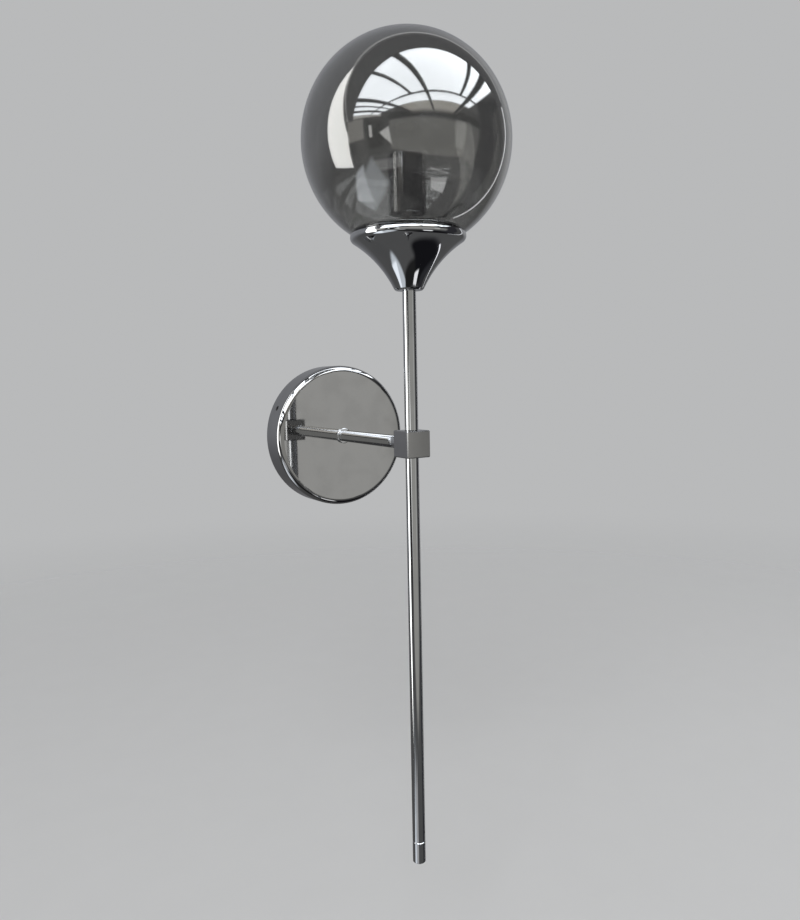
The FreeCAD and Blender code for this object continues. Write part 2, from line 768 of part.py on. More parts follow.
def terminal_block():
    """Three-pole block: a bore for each clamp, holes over the clamp screws and two fixing holes."""
    block = slab(block_length, block_depth, block_height, V(0, -pole_out, block_centre_z))
    front = [edge for edge in block.Edges if edge.BoundBox.YMax < -block_front + 1e-3]
    block = block.makeFillet(block_round, front)
    for x in pole_places():
        start = V(x, -pole_out, block_bottom_z - past)
        block = block.cut(round_bar(clamp_r + thread_gap, start, UP, block_height + 2 * past))
        for z in clamp_screw_heights():
            block = block.cut(round_bar(clamp_screw_r + passing_gap, V(x, -pole_out, z), OUT, block_depth))
    for x, z in block_fixings():
        block = block.cut(round_bar(fixing_screw_r + passing_gap, V(x, 0, z), OUT, block_front + past))
    return block


def clamp_screw_heights():
    return [block_centre_z - clamp_screw_spacing / 2, block_centre_z + clamp_screw_spacing / 2]


def terminal_clamps():
    """Three brass sleeves, each with two tapped holes."""
    clamps = []
    for x in pole_places():
        start = V(x, -pole_out, block_centre_z - clamp_length / 2)
        clamp = pipe(clamp_r, clamp_bore_r, start, UP, clamp_length)
        for z in clamp_screw_heights():
            clamp = clamp.cut(round_bar(clamp_screw_r + thread_gap, V(x, -pole_out, z), OUT, clamp_r + past))
        clamps.append(clamp)
    return Part.makeCompound(clamps)


def terminal_screws():
    """Six clamp screws: the lower row bears on the leads, the upper row is left slack for the supply."""
    screws = []
    tip = pole_out + lead_r + lead_gap
    head = block_front - clamp_screw_recess
    for x in pole_places():
        for z in clamp_screw_heights():
            top = V(x, -head, z)
            screw = round_bar(clamp_screw_r, top, V(0, 1, 0), head - tip)
            groove = slab(2 * (clamp_screw_r + past), slot_depth * 2, slot_width, top)
            screws.append(screw.cut(groove))
    return Part.makeCompound(screws)


def terminal_fixing_screws():
    screws = []
    for x, z in block_fixings():
        top = V(x, -(block_front + fixing_screw_head_t), z)
        way = V(0, 1, 0)
        screws.append(slotted_screw(fixing_screw_head_r, fixing_screw_head_t, fixing_screw_r, block_front, top, way))
    return Part.makeCompound(screws)


def earth_screw():
    stack = earth_washer_t + earth_tag_t
    top = V(earth_x, -(plate_t + stack + earth_head_t), earth_z)
    return slotted_screw(earth_head_r, earth_head_t, earth_screw_r, stack + plate_t, top, V(0, 1, 0))


def earth_washer():
    start = V(earth_x, -plate_t, earth_z)
    return pipe(earth_washer_r, earth_screw_r + passing_gap, start, OUT, earth_washer_t)


def earth_tag():
    """Ring tag with a crimped barrel that points to the terminal block."""
    back = plate_t + earth_washer_t
    ring = round_bar(earth_tag_r, V(0, -back, 0), OUT, earth_tag_t)
    reach = earth_tag_r + 2 * earth_tongue
    tag = ring.fuse(slab(reach, earth_tag_t, earth_barrel_r * 2, V(reach / 2, -back - earth_tag_t / 2, 0)))
    barrel_start = V(earth_tag_r + earth_tongue, -(back + earth_barrel_r), 0)
    barrel = round_bar(earth_barrel_r, barrel_start, V(1, 0, 0), earth_barrel_length)
    tag = tag.fuse(barrel).removeSplitter()
    bore_start = barrel_start + V(earth_barrel_bottom, 0, 0)
    tag = tag.cut(round_bar(lead_r + lead_gap, bore_start, V(1, 0, 0), earth_barrel_length))
    tag = tag.cut(round_bar(earth_screw_r + passing_gap, V(0, 0, 0), OUT, back + earth_tag_t + past))
    tag.rotate(V(0, 0, 0), V(0, 1, 0), 180 + earth_tag_angle)
    tag.translate(V(earth_x, 0, earth_z))
    return tag


# ---------------------------------------------------------------- leads
def lead(points, bends, name):
    """Round lead along straight runs and arcs. Its volume is compared with section times length and printed."""
    path = Part.Wire(rounded_path(points, bends))
    section = Part.Wire(Part.Circle(points[0], points[1] - points[0], lead_r).toShape())
    solid = path.makePipeShell([section], True, False)
    ratio = solid.Volume / (math.pi * lead_r ** 2 * path.Length)
    print(name, "length %.1f mm, volume over section times length %.4f" % (path.Length, ratio))
    return solid


def mains_lead(side, name):
    """From its pole down to the arm, through arm, cube and stem, and up to its contact in the holder."""
    pole_x = side * pole_pitch
    inside_x = side * lead_offset
    pin_x = side * pin_pitch / 2
    points = [
        V(pole_x, -pole_out, block_centre_z),
        V(pole_x, -pole_out, block_bottom_z - lead_drop),
        V(inside_x, lead_canopy_y, 0),
        V(inside_x, -arm_reach, 0),
        V(inside_x, -arm_reach, centre_tube_top_z + lead_past_tube),
        V(pin_x, -arm_reach, holder_z + holder_pocket_depth - lead_in_pocket),
        V(pin_x, -arm_reach, contact_z),
    ]
    return lead(points, [lead_bend, lead_arm_bend, lead_cube_bend, lead_bend, lead_bend], name)


def live_lead():
    return mains_lead(-1, "live_lead")


def neutral_lead():
    return mains_lead(1, "neutral_lead")


def earth_lead():
    """From the middle pole, behind the mains leads, to the barrel of the earth tag."""
    turn = math.radians(earth_tag_angle)
    away = V(-math.cos(turn), 0, math.sin(turn))
    out = plate_t + earth_washer_t + earth_barrel_r
    barrel = V(earth_x, -out, earth_z) + away * (earth_tag_r + earth_tongue + earth_barrel_bottom)
    points = [
        V(0, -pole_out, block_centre_z),
        V(0, -pole_out, block_bottom_z - earth_lead_drop),
        V(earth_lead_side, -out - earth_lead_behind, block_bottom_z - earth_lead_sag),
        barrel + away * (earth_barrel_length + earth_lead_run),
        barrel,
    ]
    return lead(points, [lead_arm_bend, lead_arm_bend, lead_arm_bend], "earth_lead")


# ---------------------------------------------------------------- build
PIECES = [
    mounting_plate,
    canopy_cover,
    canopy_set_screws,
    arm_lock_washer,
    arm_nut,
    arm_nipple,
    arm_collar,
    arm_tube,
    cube_block,
    cube_arm_nipple,
    cube_upper_nipple,
    cube_lower_stud,
    upper_stem,
    lower_stem,
    stem_end_cap,
    flared_cup,
    centre_tube,
    cup_locknut,
    cup_spacer,
    fitter_pan,
    strip_spacer,
    spring_strip,
    strip_nut,
    holder_sleeve,
    socket_bracket,
    socket_nut,
    g9_socket,
    socket_contacts,
    socket_screws,
    glass_globe,
    terminal_block,
    terminal_clamps,
    terminal_screws,
    terminal_fixing_screws,
    earth_screw,
    earth_washer,
    earth_tag,
    live_lead,
    neutral_lead,
    earth_lead,
]

os.makedirs("parts", exist_ok=True)
for make in PIECES:
    make().exportStep("parts/" + make.__name__ + ".step")
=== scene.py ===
import math

import bpy
import numpy as np
from mathutils import Matrix, Vector


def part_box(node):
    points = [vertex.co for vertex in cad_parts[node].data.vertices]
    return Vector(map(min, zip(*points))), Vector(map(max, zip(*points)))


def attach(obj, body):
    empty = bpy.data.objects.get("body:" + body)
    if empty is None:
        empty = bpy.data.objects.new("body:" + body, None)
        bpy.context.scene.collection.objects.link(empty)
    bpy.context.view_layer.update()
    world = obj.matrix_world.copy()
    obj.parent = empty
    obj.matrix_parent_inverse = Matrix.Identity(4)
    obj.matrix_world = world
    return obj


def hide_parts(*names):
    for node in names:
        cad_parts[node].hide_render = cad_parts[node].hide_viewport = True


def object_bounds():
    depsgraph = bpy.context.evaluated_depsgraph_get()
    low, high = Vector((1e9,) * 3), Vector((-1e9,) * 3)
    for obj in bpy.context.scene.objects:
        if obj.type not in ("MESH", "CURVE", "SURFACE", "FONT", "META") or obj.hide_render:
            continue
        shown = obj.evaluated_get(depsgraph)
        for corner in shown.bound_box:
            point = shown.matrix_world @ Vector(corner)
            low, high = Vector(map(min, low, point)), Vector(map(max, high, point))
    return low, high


# Globe wall sconce: finishes, glass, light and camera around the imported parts. All lengths are in metres.
# The wall is the plane y = 0, the fixture stands out towards -Y and +Z is up.

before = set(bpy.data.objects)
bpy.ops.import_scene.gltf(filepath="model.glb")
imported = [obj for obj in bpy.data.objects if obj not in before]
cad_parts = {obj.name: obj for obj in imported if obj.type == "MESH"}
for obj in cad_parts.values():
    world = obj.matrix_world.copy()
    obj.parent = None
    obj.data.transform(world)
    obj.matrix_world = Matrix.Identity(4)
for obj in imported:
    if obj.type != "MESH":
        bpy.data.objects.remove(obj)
cad_low, cad_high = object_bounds()
MM = 0.001

# ---------------------------------------------------------------- sizes that the looks share
# Glass ball, from its packed box and the wall and hole it was blown with
ball_low, ball_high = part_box("glass_globe")
ball_r = (ball_high.x - ball_low.x) / 2
ball_centre = Vector(((ball_low.x + ball_high.x) / 2, (ball_low.y + ball_high.y) / 2, ball_high.z - ball_r))
ball_wall = 2.5 * MM
ball_hole_r = 39.0 * MM
ball_lip_round = 0.8 * MM

# Camera of the photograph: place, turn and focal length on the long side of an 800 by 920 frame
camera_place = Vector((-0.31026, -0.62409, 0.05029))
camera_yaw = 0.5497
camera_pitch = -0.1072
camera_roll = -0.0198
focal_px = 781.44
frame_long_px = 920
sensor = 36.0

# Background that the camera sees, and the even light on matt surfaces; 1 is white
background_tone = (0.485, 0.49, 0.495)
soft_light = 0.55

# Floor: how far below the fixture it lies, its radius, and its rings and points round each
floor_below = 0.12
floor_radius = 2.6
floor_rings = 40
floor_around = 96

# Points round each turned piece
around_piece = 256


# ---------------------------------------------------------------- surfaces
def arc(centre, radius, start, end, steps, outward=1.0):
    """Rows of (radius from the axis, height, normal, normal) on an arc; angles in degrees from the radius axis."""
    turn = np.radians(np.linspace(start, end, steps + 1))
    way = np.stack([np.cos(turn), np.sin(turn)], axis=1)
    return np.hstack([np.asarray(centre) + way * radius, way * outward])


def straight(start, end, steps, normal):
    """Rows of the same kind on a straight line with one normal."""
    share = np.linspace(0.0, 1.0, steps + 1)[:, None]
    points = np.asarray(start) * (1 - share) + np.asarray(end) * share
    return np.hstack([points, np.tile(np.asarray(normal, float), (steps + 1, 1))])


def joined(*stretches):
    """One profile from stretches that meet end to end: each shared point is kept once."""
    return np.vstack([stretches[0]] + [stretch[1:] for stretch in stretches[1:]])


def soft_corners(points, radii, steps=5):
    """Rows of a closed outline with straight sides, walked with its material on the left.

    At each corner an arc of the given radius touches both sides, so that the rows carry the exact normals."""
    rows = []
    points = np.asarray(points, float)
    for before, corner, after, radius in zip(np.roll(points, 1, 0), points, np.roll(points, -1, 0), radii):
        come = (corner - before) / np.linalg.norm(corner - before)
        go = (after - corner) / np.linalg.norm(after - corner)
        turn = math.atan2(come[0] * go[1] - come[1] * go[0], come.dot(go))
        start = corner - come * radius * math.tan(abs(turn) / 2)
        side = math.copysign(1.0, turn)
        first = np.array([come[1], -come[0]])
        centre = start - first * radius * side
        angle = math.degrees(math.atan2(first[1] * side, first[0] * side))
        rows.append(arc(centre, radius, angle, angle + math.degrees(turn), steps, side))
    return rows


def turned(name, profile, centre, around, loop=False):
    """Surface of revolution about an upright axis.

    Point i of ring j lies at the radius and height of profile[i] and at the angle 2 pi j / around.
    A loop joins its last row to its first. An open profile that ends on the axis closes there with one vertex."""
    on_axis = profile[:, 0] < 1e-9
    rows = profile[~on_axis]
    count = len(rows)
    turn = np.arange(around) * (2 * math.pi / around)
    cos, sin = np.cos(turn)[:, None], np.sin(turn)[:, None]
    heights = np.broadcast_to(rows[:, 1], (around, count))
    upward = np.broadcast_to(rows[:, 3], (around, count))
    points = np.stack([rows[:, 0] * cos, rows[:, 0] * sin, heights], axis=2)
    normals = np.stack([rows[:, 2] * cos, rows[:, 2] * sin, upward], axis=2)
    ring = np.arange(around)[:, None] * count
    onward = (np.arange(around)[:, None] + 1) % around * count
    low = np.arange(count if loop else count - 1)[None, :]
    high = (low + 1) % count
    quads = np.stack([ring + low, onward + low, onward + high, ring + high], axis=2).reshape(-1, 4)
    vertices = [points.reshape(-1, 3)]
    ways = [normals.reshape(-1, 3)]
    fans = []
    for end, row in ((0, 0), (-1, count - 1)):
        if on_axis[end]:
            pole = sum(len(v) for v in vertices)
            vertices.append(np.array([[0.0, 0.0, profile[end, 1]]]))
            ways.append(np.array([[0.0, 0.0, profile[end, 3]]]))
            pair = (onward[:, 0] + row, ring[:, 0] + row)
            pair = pair if end == 0 else pair[::-1]
            fans.append(np.stack([pair[0], pair[1], np.full(around, pole)], axis=1))
    vertices = np.vstack(vertices) + np.array(centre)
    ways = np.vstack(ways)
    return grid_mesh(name, vertices, ways, quads, np.vstack(fans) if fans else np.zeros((0, 3), int))


def grid_mesh(name, vertices, ways, quads, triangles):
    """Smooth mesh from arrays of quads and triangles that all face along the given vertex normals."""
    side = vertices[quads[:, 2]] - vertices[quads[:, 0]]
    other = vertices[quads[:, 3]] - vertices[quads[:, 1]]
    if np.sum(np.cross(side, other) * ways[quads[:, 0]]) < 0:
        quads, triangles = quads[:, ::-1], triangles[:, ::-1]
    mesh = bpy.data.meshes.new(name)
    mesh.vertices.add(len(vertices))
    mesh.vertices.foreach_set("co", vertices.astype(np.float32).ravel())
    corners = np.concatenate([quads.ravel(), triangles.ravel()])
    counts = np.concatenate([np.full(len(quads), 4), np.full(len(triangles), 3)])
    mesh.loops.add(len(corners))
    mesh.loops.foreach_set("vertex_index", corners.astype(np.int32))
    mesh.polygons.add(len(counts))
    mesh.polygons.foreach_set("loop_start", (np.cumsum(counts) - counts).astype(np.int32))
    mesh.polygons.foreach_set("use_smooth", np.ones(len(counts), bool))
    mesh.update(calc_edges=True)
    mesh.validate()
    mesh.normals_split_custom_set_from_vertices(ways)
    made = bpy.data.objects.new(name, mesh)
    bpy.context.scene.collection.objects.link(made)
    return made


# ---------------------------------------------------------------- shader nodes
def node(tree, kind, inputs=None, **settings):
    """Adds a shader node, sets its settings and fills its inputs with values or links."""
    made = tree.nodes.new(kind)
    for key, value in settings.items():
        setattr(made, key, value)
    for key, value in (inputs or {}).items():
        if isinstance(value, bpy.types.NodeSocket):
            tree.links.new(value, made.inputs[key])
        else:
            made.inputs[key].default_value = value
    return made


def maths(tree, operation, *values):
    """One operation on values or links."""
    made = node(tree, "ShaderNodeMath", dict(enumerate(values)), operation=operation)
    return made.outputs[0]


def step_between(tree, value, low, high):
    """0 below low, 1 above high, with a soft step between them."""
    made = node(tree, "ShaderNodeMapRange", {0: value, 1: low, 2: high}, interpolation_type="SMOOTHSTEP")
    return made.outputs[0]


def ranged(tree, value, low, high):
    """A 0 to 1 value moved to low to high."""
    return node(tree, "ShaderNodeMapRange", {0: value, 3: low, 4: high}).outputs[0]


def blended(tree, share, first, second):
    """The first colour at 0, the second at 1."""
    made = node(tree, "ShaderNodeMix", {0: share, 6: first, 7: second}, data_type="RGBA")
    return made.outputs[2]


def shader(name):
    """New material with its Principled shader and the object coordinates in it."""
    material = bpy.data.materials.new(name)
    material.use_nodes = True
    tree = material.node_tree
    tree.nodes.clear()
    principled = node(tree, "ShaderNodeBsdfPrincipled")
    node(tree, "ShaderNodeOutputMaterial", {"Surface": principled.outputs[0]})
    place = node(tree, "ShaderNodeTexCoord").outputs["Object"]
    return material, tree, principled, place


def noise(tree, place, size, stretch=(1, 1, 1), detail=3.0):
    """Noise whose grain is about one size across, or that size times the stretch along each axis."""
    scale = [1 / (size * s) for s in stretch]
    moved = node(tree, "ShaderNodeMapping", {"Vector": place, "Scale": scale}).outputs[0]
    settings = {"Vector": moved, "Scale": 1.0, "Detail": detail, "Roughness": 0.5}
    return node(tree, "ShaderNodeTexNoise", settings).outputs["Fac"]


def raised(tree, principled, height, depth):
    """Bump of that depth in metres from a 0 to 1 height."""
    bump = node(tree, "ShaderNodeBump", {"Height": height, "Distance": depth, "Strength": 1.0})
    tree.links.new(bump.outputs[0], principled.inputs["Normal"])


def into(tree, principled, **values):
    """Sets or links named inputs of the shader; underscores stand for spaces."""
    for key, value in values.items():
        socket = principled.inputs[key.replace("_", " ")]
        if isinstance(value, bpy.types.NodeSocket):
            tree.links.new(value, socket)
        else:
            socket.default_value = value


# ---------------------------------------------------------------- finishes
def chrome(
    name, grain=(1, 1, 1), grain_size=0.4 * MM, tone=(0.60, 0.61, 0.625, 1), rough=(0.022, 0.05),
):
    """Bright plating: a mirror with faint polishing lines, thin cloudy film and a trace of waviness."""
    material, tree, principled, place = shader(name)
    lines = noise(tree, place, grain_size, grain, detail=2.0)
    film = noise(tree, place, 22 * MM, detail=4.0)
    cloud = step_between(tree, film, 0.42, 0.68)
    rough = maths(tree, "ADD", ranged(tree, lines, *rough), ranged(tree, cloud, 0.0, 0.03))
    dull = (tone[0] * 0.93, tone[1] * 0.93, tone[2] * 0.93, 1)
    into(tree, principled, Base_Color=blended(tree, cloud, tone, dull), Metallic=1.0, Roughness=rough)
    raised(tree, principled, noise(tree, place, 9 * MM, detail=1.0), 0.004 * MM)
    return material


def smoked_glass():
    """Grey blown glass with a half-mirror film: see-through, with strong clear reflections."""
    material, tree, principled, place = shader("smoked_glass")
    tint = noise(tree, place, 60 * MM, detail=1.0)
    colour = blended(tree, tint, (0.36, 0.36, 0.352, 1), (0.40, 0.40, 0.392, 1))
    into(tree, principled, Base_Color=colour, Transmission_Weight=1.0, IOR=1.52, Roughness=0.0)
    into(tree, principled, Coat_Weight=1.0, Coat_Roughness=0.0, Coat_IOR=1.9)
    raised(tree, principled, noise(tree, place, 25 * MM, detail=0.0), 0.02 * MM)
    return material


def zinc():
    """Galvanised steel: pale grey with soft blue-grey flakes."""
    material, tree, principled, place = shader("zinc_steel")
    flakes = node(tree, "ShaderNodeTexVoronoi", {"Vector": place, "Scale": 420.0}).outputs["Color"]
    patch = noise(tree, place, 6 * MM)
    pale = blended(tree, patch, (0.50, 0.51, 0.52, 1), (0.66, 0.67, 0.68, 1))
    grey = node(tree, "ShaderNodeRGBToBW", {0: flakes}).outputs[0]
    colour = blended(tree, ranged(tree, grey, 0.0, 0.35), pale, (0.42, 0.43, 0.46, 1))
    into(tree, principled, Base_Color=colour, Metallic=0.9, Roughness=ranged(tree, grey, 0.28, 0.45))
    raised(tree, principled, noise(tree, place, 0.5 * MM), 0.01 * MM)
    return material


def spring_steel():
    """Bright rolled strip with fine lines across it."""
    material, tree, principled, place = shader("spring_steel")
    lines = noise(tree, place, 0.15 * MM, (30, 1, 1), detail=2.0)
    into(tree, principled, Base_Color=(0.86, 0.85, 0.82, 1), Metallic=1.0)
    into(tree, principled, Roughness=ranged(tree, lines, 0.06, 0.16))
    raised(tree, principled, lines, 0.002 * MM)
    return material


def black_steel():
    """Blackened screws: nearly black with a fine speck."""
    material, tree, principled, place = shader("black_steel")
    speck = noise(tree, place, 0.3 * MM)
    colour = blended(tree, speck, (0.012, 0.012, 0.013, 1), (0.035, 0.034, 0.034, 1))
    into(tree, principled, Base_Color=colour, Metallic=0.4, Roughness=ranged(tree, speck, 0.35, 0.5))
    return material


def brass():
    """Plain brass, patchy where it has dulled."""
    material, tree, principled, place = shader("brass")
    patch = noise(tree, place, 2 * MM)
    colour = blended(tree, patch, (0.72, 0.50, 0.20, 1), (0.56, 0.36, 0.13, 1))
    into(tree, principled, Base_Color=colour, Metallic=1.0, Roughness=ranged(tree, patch, 0.22, 0.4))
    raised(tree, principled, noise(tree, place, 0.25 * MM), 0.004 * MM)
    return material


def ceramic():
    """Fired, unglazed ceramic: off-white with a fine sandy skin."""
    material, tree, principled, place = shader("ceramic")
    patch = noise(tree, place, 5 * MM)
    colour = blended(tree, patch, (0.80, 0.77, 0.70, 1), (0.72, 0.69, 0.61, 1))
    into(tree, principled, Base_Color=colour, Roughness=ranged(tree, patch, 0.5, 0.65))
    raised(tree, principled, noise(tree, place, 0.2 * MM), 0.012 * MM)
    return material


def moulded(name, light, dark, low, high):
    """Moulded plastic with a fine spark-eroded skin."""
    material, tree, principled, place = shader(name)
    patch = noise(tree, place, 7 * MM)
    into(tree, principled, Base_Color=blended(tree, patch, light, dark))
    into(tree, principled, Roughness=ranged(tree, patch, low, high))
    into(tree, principled, Subsurface_Weight=0.05, Subsurface_Scale=0.001)
    raised(tree, principled, noise(tree, place, 0.18 * MM), 0.008 * MM)
    return material


# Distance between the bands of the two-coloured lead, along x, y and z added up
STRIPE_PITCH = 4 * MM


def lead_cover(name, colour, stripe=None):
    """Insulation of a lead, with slanting bands where it has two colours."""
    material, tree, principled, place = shader(name)
    patch = noise(tree, place, 3 * MM)
    dark = tuple(c * 0.85 for c in colour[:3]) + (1,)
    shade = blended(tree, patch, colour, dark)
    if stripe:
        split = node(tree, "ShaderNodeSeparateXYZ", {0: place})
        along = maths(tree, "ADD", maths(tree, "ADD", split.outputs[0], split.outputs[1]), split.outputs[2])
        wave = maths(tree, "SINE", maths(tree, "MULTIPLY", along, 2 * math.pi / STRIPE_PITCH))
        shade = blended(tree, step_between(tree, wave, -0.1, 0.1), stripe, shade)
    into(tree, principled, Base_Color=shade, Roughness=ranged(tree, patch, 0.38, 0.5))
    raised(tree, principled, noise(tree, place, 0.4 * MM), 0.006 * MM)
    return material


# Stretch of the polishing lines along x, y and z: rings round an upright tube, and round the arm
UPRIGHT_RINGS = (60, 60, 1)
ARM_RINGS = (60, 1, 60)
chrome_rod = chrome("chrome_rod", UPRIGHT_RINGS)
chrome_arm = chrome("chrome_arm", ARM_RINGS)
chrome_cup = chrome("chrome_cup", UPRIGHT_RINGS)
glass = smoked_glass()
SLOT_FINISH = {
    "chrome": chrome_rod,
    "smoked_glass": glass,
    "zinc_steel": zinc(),
    "spring_steel": spring_steel(),
    "black_steel": black_steel(),
    "brass": brass(),
    "terminal_plastic": moulded(
        "terminal_plastic", (0.80, 0.80, 0.77, 1), (0.74, 0.74, 0.70, 1), 0.35, 0.5),
    "ceramic": ceramic(),
    "brown_lead": lead_cover("brown_lead", (0.17, 0.07, 0.03, 1)),
    "blue_lead": lead_cover("blue_lead", (0.02, 0.13, 0.42, 1)),
    "earth_lead_green": lead_cover(
        "earth_lead_green", (0.03, 0.26, 0.05, 1), (0.80, 0.68, 0.04, 1)),
}
# Painted shade: the canopy, cube and sleeve get darker copies of the one chrome plating, which darkens their
# reflections.
NODE_FINISH = {
    "canopy_cover": chrome("chrome_canopy_painted_shade", (1, 60, 1), tone=(0.46, 0.462, 0.468, 1)),
    "arm_collar": chrome_arm,
    "arm_tube": chrome_arm,
    "cube_block": chrome(
        "chrome_cube_painted_shade", (1, 1, 40), 0.25 * MM, (0.47, 0.47, 0.475, 1), (0.04, 0.08)),
    "holder_sleeve": chrome("chrome_sleeve_painted_shade", UPRIGHT_RINGS, tone=(0.50, 0.50, 0.51, 1)),
}


def dress_nodes():
    """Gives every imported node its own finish, or the finish of the slot that it was packed with."""
    for name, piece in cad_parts.items():
        packed = piece.data.materials[0].name.split(".")[0]
        piece.data.materials[0] = NODE_FINISH.get(name) or SLOT_FINISH[packed]


def glass_ball():
    """Ball of even wall: inner sphere from its pole to the lip, the rounded lip, and the outer sphere back up.

    Each round of the lip is tangent to the upright edge of the hole and to its sphere."""
    inner_r = ball_r - ball_wall
    corner_x = ball_hole_r + ball_lip_round
    inner_z = -math.sqrt((inner_r + ball_lip_round) ** 2 - corner_x ** 2)
    outer_z = -math.sqrt((ball_r - ball_lip_round) ** 2 - corner_x ** 2)
    inner_meets = math.degrees(math.atan2(inner_z, corner_x))
    outer_meets = math.degrees(math.atan2(outer_z, corner_x))
    profile = joined(
        arc((0, 0), inner_r, 90, inner_meets, 130, -1.0),
        arc((corner_x, inner_z), ball_lip_round, 180 + inner_meets, 180, 6),
        straight((ball_hole_r, inner_z), (ball_hole_r, outer_z), 3, (-1, 0)),
        arc((corner_x, outer_z), ball_lip_round, 180, 360 + outer_meets, 6),
        arc((0, 0), ball_r, outer_meets, 90, 130),
    )
    ball = turned("glass_ball", profile, ball_centre, around_piece)
    ball.data.materials.append(glass)
    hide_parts("glass_globe")
    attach(ball, "globe")


def elliptic(centre, across, upright, start, end, steps):
    """Rows on an ellipse with upright axes; angles of its parameter in degrees, normals exact."""
    turn = np.radians(np.linspace(start, end, steps + 1))
    points = np.asarray(centre) + np.stack([across * np.cos(turn), upright * np.sin(turn)], axis=1)
    ways = np.stack([upright * np.cos(turn), across * np.sin(turn)], axis=1)
    return np.hstack([points, ways / np.linalg.norm(ways, axis=1)[:, None]])


def chromed_ring(name, replaced, stretches, centre):
    """Turned and plated piece of the fixture, from stretches of its closed outline in millimetres."""
    profile = np.vstack(stretches)
    profile[:, :2] *= MM
    piece = turned(name, profile, centre, around_piece, loop=True)
    piece.data.materials.append(chrome_cup)
    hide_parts(replaced)
    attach(piece, "fixture")


def spun_cup():
    """Cup: chamfered foot, one long concave flare, a roll, and a crowned lip that the ball rests in.

    Outer side: an arc about the flare's centre, then the roll's arc, then a quarter ellipse; inside it, the
    same arcs moved inwards by the wall. The flare's arc touches the roll and passes through the top of the
    foot's chamfer. Lengths in millimetres."""
    low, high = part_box("flared_cup")
    rim_r, height = (high.x - low.x) / 2 / MM, (high.z - low.z) / MM
    wall, lip, roll, foot_r, chamfer, floor, bore = 1.0, 2.5, 4.0, 11.0, 1.2, 3.0, 4.2
    crown, crown_inside, crown_drop = 0.75, 0.25, 0.4
    lean = math.radians(57.0)
    out = np.array([math.cos(lean), -math.sin(lean)])
    roll_centre = np.array([rim_r - roll, height - lip])
    neck = np.array([foot_r, chamfer])
    drop = neck - (roll_centre + out * roll)
    flare_r = drop.dot(drop) / (2 * drop.dot(out))
    flare_centre = roll_centre + out * (roll + flare_r)
    top = 180.0 - math.degrees(lean)
    to_neck = (neck - flare_centre) / flare_r
    bottom = math.degrees(math.atan2(to_neck[1], to_neck[0])) % 360
    inner_r = flare_r + wall
    inner_bottom = 180.0 + math.degrees(math.asin((flare_centre[1] - floor) / inner_r))
    along = np.array([-to_neck[1], to_neck[0]]) * -1.0
    foot = soft_corners(
        [(bore, 0), (foot_r - chamfer, 0), neck, neck + along * 5, (bore, 20)], [0.2, 0.4, 0.4, 1, 1])
    inner_foot = np.array([flare_centre[0] + inner_r * math.cos(math.radians(inner_bottom)), floor])
    inside_floor = soft_corners(
        [inner_foot + (5, 8), inner_foot, (bore, floor), (bore, 0)], [1, 0.4, 0.2, 1])
    chromed_ring("spun_cup", "flared_cup", [
        foot[0], foot[1], foot[2],
        arc(flare_centre, flare_r, bottom - 0.6, top, 90, -1.0),
        arc(roll_centre, roll, -math.degrees(lean), 0, 24)[1:],
        elliptic((rim_r - crown, height - lip), crown, lip, 0, 90, 24)[1:],
        elliptic((rim_r - crown, height - crown_drop), crown_inside, crown_drop, 90, 180, 8)[1:],
        arc(roll_centre, roll - wall, 0, -math.degrees(lean), 16, -1.0),
        arc(flare_centre, inner_r, top, inner_bottom - 1.0, 40, 1.0)[1:],
        inside_floor[1], inside_floor[2],
    ], (0, (low.y + high.y) / 2, low.z))


def beaded_pan():
    """Pan outline: flat floor, round corner, upright edge and a rolled bead on top of it, in millimetres."""
    low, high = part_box("fitter_pan")
    pan_r, height = (high.x - low.x) / 2 / MM, (high.z - low.z) / MM
    wall, corner, bead, bead_inset, bore, edge = 1.0, 1.6, 0.9, 0.65, 4.2, 0.2
    bead_centre = (pan_r - bead_inset, height - bead)
    start = -math.degrees(math.acos(bead_inset / bead))
    end = 180 + math.degrees(math.acos((wall - bead_inset) / bead))
    inside_r = pan_r - wall
    sides = soft_corners(
        [(bore, 0), (pan_r, 0), (pan_r, height), (inside_r, height), (inside_r, wall), (bore, wall)],
        [edge, corner, edge, edge, corner - wall, edge], 8)
    chromed_ring("beaded_pan", "fitter_pan", [
        sides[0], sides[1], arc(bead_centre, bead, start + 3, end - 3, 32), sides[4], sides[5],
    ], (0, (low.y + high.y) / 2, low.z))


# ---------------------------------------------------------------- light, floor and camera
def toward(azimuth, elevation):
    """Direction from the fixture: azimuth 0 straight out from the wall, 90 to the right; degrees."""
    flat = math.cos(math.radians(elevation))
    turn = math.radians(azimuth)
    return Vector((flat * math.sin(turn), -flat * math.cos(turn), math.sin(math.radians(elevation))))


def side_panel(left, right, low, high):
    """Panel that stands round the fixture between two azimuths and two elevations."""
    return [toward(left, low), toward(right, low), toward(right, high), toward(left, high)]


def overhead_panel(left, right, back, front):
    """Level panel one metre above the fixture; back and front are metres out from the wall."""
    places = ((left, back), (right, back), (right, front), (left, front))
    return [Vector((across, -out, 1)) for across, out in places]


def edges_of(corners):
    """For each edge of a panel, the normal of the plane through the fixture and that edge, turned inwards."""
    middle = sum(corners, Vector())
    normals = [first.cross(second).normalized() for first, second in zip(corners, corners[1:] + corners[:1])]
    return [n if n.dot(middle) > 0 else -n for n in normals]


def inside(tree, way, normals, soft):
    """1 for directions on the inner side of every plane, with edges as soft as the given degrees."""
    share = None
    reach = math.sin(math.radians(soft))
    for normal in normals:
        dot = node(tree, "ShaderNodeVectorMath", {0: way, 1: normal}, operation="DOT_PRODUCT")
        edge = step_between(tree, dot.outputs["Value"], -reach, reach)
        share = edge if share is None else maths(tree, "MULTIPLY", share, edge)
    return share
